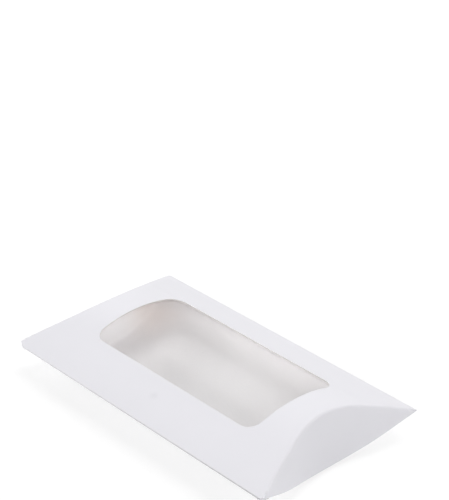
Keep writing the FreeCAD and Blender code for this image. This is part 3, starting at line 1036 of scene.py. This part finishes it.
# %% Finish the glue
glue_milky, glue_tree = new_finish("glue_milky")
glue_shader = glue_tree.nodes["Principled BSDF"]
drying = add_node(glue_tree, "ShaderNodeTexNoise", {
    "Vector": add_node(glue_tree, "ShaderNodeTexCoord").outputs["Object"],
    "Scale": 330.0, "Detail": 3.0,
}).outputs["Fac"]
smooth = add_node(glue_tree, "ShaderNodeMapRange", {
    "Value": drying, "To Min": 0.25, "To Max": 0.6,
})
beads = add_node(glue_tree, "ShaderNodeBump", {
    "Strength": 0.4, "Distance": 0.05 * MM, "Height": drying,
})
milky = add_mix(glue_tree, drying, (0.74, 0.71, 0.64), (0.86, 0.85, 0.81))
fill(glue_tree, glue_shader.inputs["Base Color"], milky)
fill(glue_tree, glue_shader.inputs["Roughness"], smooth.outputs["Result"])
fill(glue_tree, glue_shader.inputs["Normal"], beads.outputs["Normal"])
for name in ("window_glue", "seam_glue"):
    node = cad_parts[name]
    node.data.materials.clear()
    node.data.materials.append(glue_milky)
    print(name, "finished with", glue_milky.name)

# %% [markdown]
# ## The floor
# The box stands on a plain pale floor, a wide disc just under its belly. It is part of the stage
# and not of the box.

# %% Floor
FLOOR_RADIUS = 3
FLOOR_DROP = 0.02 * MM
select_nothing()
bpy.ops.mesh.primitive_circle_add(
    vertices=96, radius=FLOOR_RADIUS, fill_type="NGON", location=(0, 0, -FLOOR_DROP)
)
floor = bpy.context.object
floor.name = "floor"
print("floor", 2 * FLOOR_RADIUS, "m across")

# %% [markdown]
# White card on a white ground is a common studio picture: the ground has to come out white without
# more light on the box. So the floor shows the camera, and every mirror, a share of its own glow,
# which grows with the distance from the box, and keeps a soft shadow. All other rays meet an
# ordinary pale floor.

# %% The finish of the floor
def seen_rays(tree):
    """One for the rays of the camera, of mirrors and of glass, nothing for all others."""
    path = add_node(tree, "ShaderNodeLightPath").outputs
    seen = add_math(tree, "MAXIMUM", path["Is Camera Ray"], path["Is Glossy Ray"])
    return add_math(tree, "MAXIMUM", seen, path["Is Transmission Ray"])


floor_white, floor_tree = new_finish("floor_white")
floor_tree.nodes.clear()
floor_place = add_node(floor_tree, "ShaderNodeTexCoord").outputs["Object"]
distance = add_node(floor_tree, "ShaderNodeVectorMath", {0: floor_place}, operation="LENGTH")
fading = add_node(floor_tree, "ShaderNodeMapRange", {
    "Value": distance.outputs["Value"], "From Min": 0.15, "From Max": 0.6,
    "To Min": 0.73, "To Max": 1.0,
})
glow = add_node(floor_tree, "ShaderNodeEmission", {"Strength": fading.outputs["Result"]})
shade = add_node(floor_tree, "ShaderNodeBsdfDiffuse", {"Color": (0.3, 0.3, 0.3, 1)})
bounce = add_node(floor_tree, "ShaderNodeBsdfDiffuse", {"Color": (0.75, 0.75, 0.75, 1)})
lifted = add_node(floor_tree, "ShaderNodeAddShader", {0: shade.outputs[0], 1: glow.outputs[0]})
mixed = add_node(floor_tree, "ShaderNodeMixShader", {
    0: seen_rays(floor_tree), 1: bounce.outputs[0], 2: lifted.outputs[0],
})
add_node(floor_tree, "ShaderNodeOutputMaterial", {"Surface": mixed.outputs[0]})
floor.data.materials.append(floor_white)
print("floor shader of", len(floor_tree.nodes), "nodes")

# %% [markdown]
# ## The light
# White things are photographed in a tent of white cloth. The world plays the tent: its lamps stand
# all round, so the light is strongest in a ring a quarter of the way up. In mirrors only the even
# white cloth shows, not the lamps. Inside a white box light is handed on many times, and with few
# bounces the inside would come out darker than it is, so diffuse bounces are raised.

# %% The tent
RING = ((0, 0), (0.2, 0), (0.4, 3.71), (0.65, 0))
world = bpy.data.worlds.new("studio")
bpy.context.scene.world = world
world.use_nodes = True
sky_tree = world.node_tree
background = sky_tree.nodes["Background"]
background.inputs["Color"].default_value = (1, 1, 1, 1)
sky_way = add_node(sky_tree, "ShaderNodeTexCoord").outputs["Generated"]
sky_parts = add_node(sky_tree, "ShaderNodeSeparateXYZ", {0: sky_way})
tent = add_node(sky_tree, "ShaderNodeValToRGB", {"Fac": sky_parts.outputs["Z"]})
tent.color_ramp.elements.remove(tent.color_ramp.elements[1])
for height, strength in RING:
    stop = tent.color_ramp.elements.new(height) if height else tent.color_ramp.elements[0]
    stop.color = (strength, strength, strength, 1)
sky_level = add_node(sky_tree, "ShaderNodeMapRange", {
    "Value": seen_rays(sky_tree), "To Min": tent.outputs["Color"], "To Max": 1.0,
})
fill(sky_tree, background.inputs["Strength"], sky_level.outputs["Result"])
bpy.context.scene.cycles.diffuse_bounces = 12
print("tent with a ring of", max(strength for height, strength in RING))

# %% [markdown]
# Two softboxes shape the box in that even light. One above reaches the bottom of the box through
# the window, and a weaker one in front lifts the long side. A lamp of the sun kind would draw hard
# shadows, so both are wide area lamps, and they don't show in mirrors either.

# %% Softboxes
SOFTBOX_SIZE = 0.6
AIM = Vector((0, 0, 0.01))


def softbox(name, place, power):
    """Square area lamp at a place, turned to the middle of the box."""
    lamp = bpy.data.lights.new(name, "AREA")
    lamp.shape = "SQUARE"
    lamp.size = SOFTBOX_SIZE
    lamp.energy = power
    light = bpy.data.objects.new(name, lamp)
    bpy.context.scene.collection.objects.link(light)
    light.location = place
    light.visible_glossy = False
    light.rotation_mode = "QUATERNION"
    light.rotation_quaternion = (AIM - Vector(place)).to_track_quat("-Z", "Y")
    print(name, power, "W")


softbox("top_softbox", (0, 0.325, 0.903), power=4.1)
softbox("front_softbox", (0, -0.834, 0.347), power=1.4)

# %% [markdown]
# ## The camera
# The camera looks down on one corner from a fair distance with a long lens, so the long sides run
# almost parallel. Its angles are set as numbers round the box: how far round, how far up, and a
# slight roll.

# %% Camera
LENS, SENSOR = 117.93, 36
AZIMUTH, ELEVATION, ROLL = (math.radians(angle) for angle in (46.085, 28.616, 0.881))
EYE = (0.349903, -0.331393, 0.323441)
camera = bpy.data.cameras.new("view")
camera.lens = LENS
camera.sensor_width = SENSOR
camera.clip_start = 0.01
eye = bpy.data.objects.new("view", camera)
bpy.context.scene.collection.objects.link(eye)
back = Vector((
    math.sin(AZIMUTH) * math.cos(ELEVATION),
    -math.cos(AZIMUTH) * math.cos(ELEVATION),
    math.sin(ELEVATION),
))
level = Vector((math.cos(AZIMUTH), math.sin(AZIMUTH), 0))
upright = back.cross(level)
right = math.cos(ROLL) * level + math.sin(ROLL) * upright
up = math.cos(ROLL) * upright - math.sin(ROLL) * level
eye.matrix_world = Matrix((right, up, back)).transposed().to_4x4()
eye.location = EYE
bpy.context.scene.camera = eye
bpy.context.scene.view_settings.view_transform = "Standard"
print("camera", round(eye.location.length / MM), "mm away, lens", LENS, "mm")
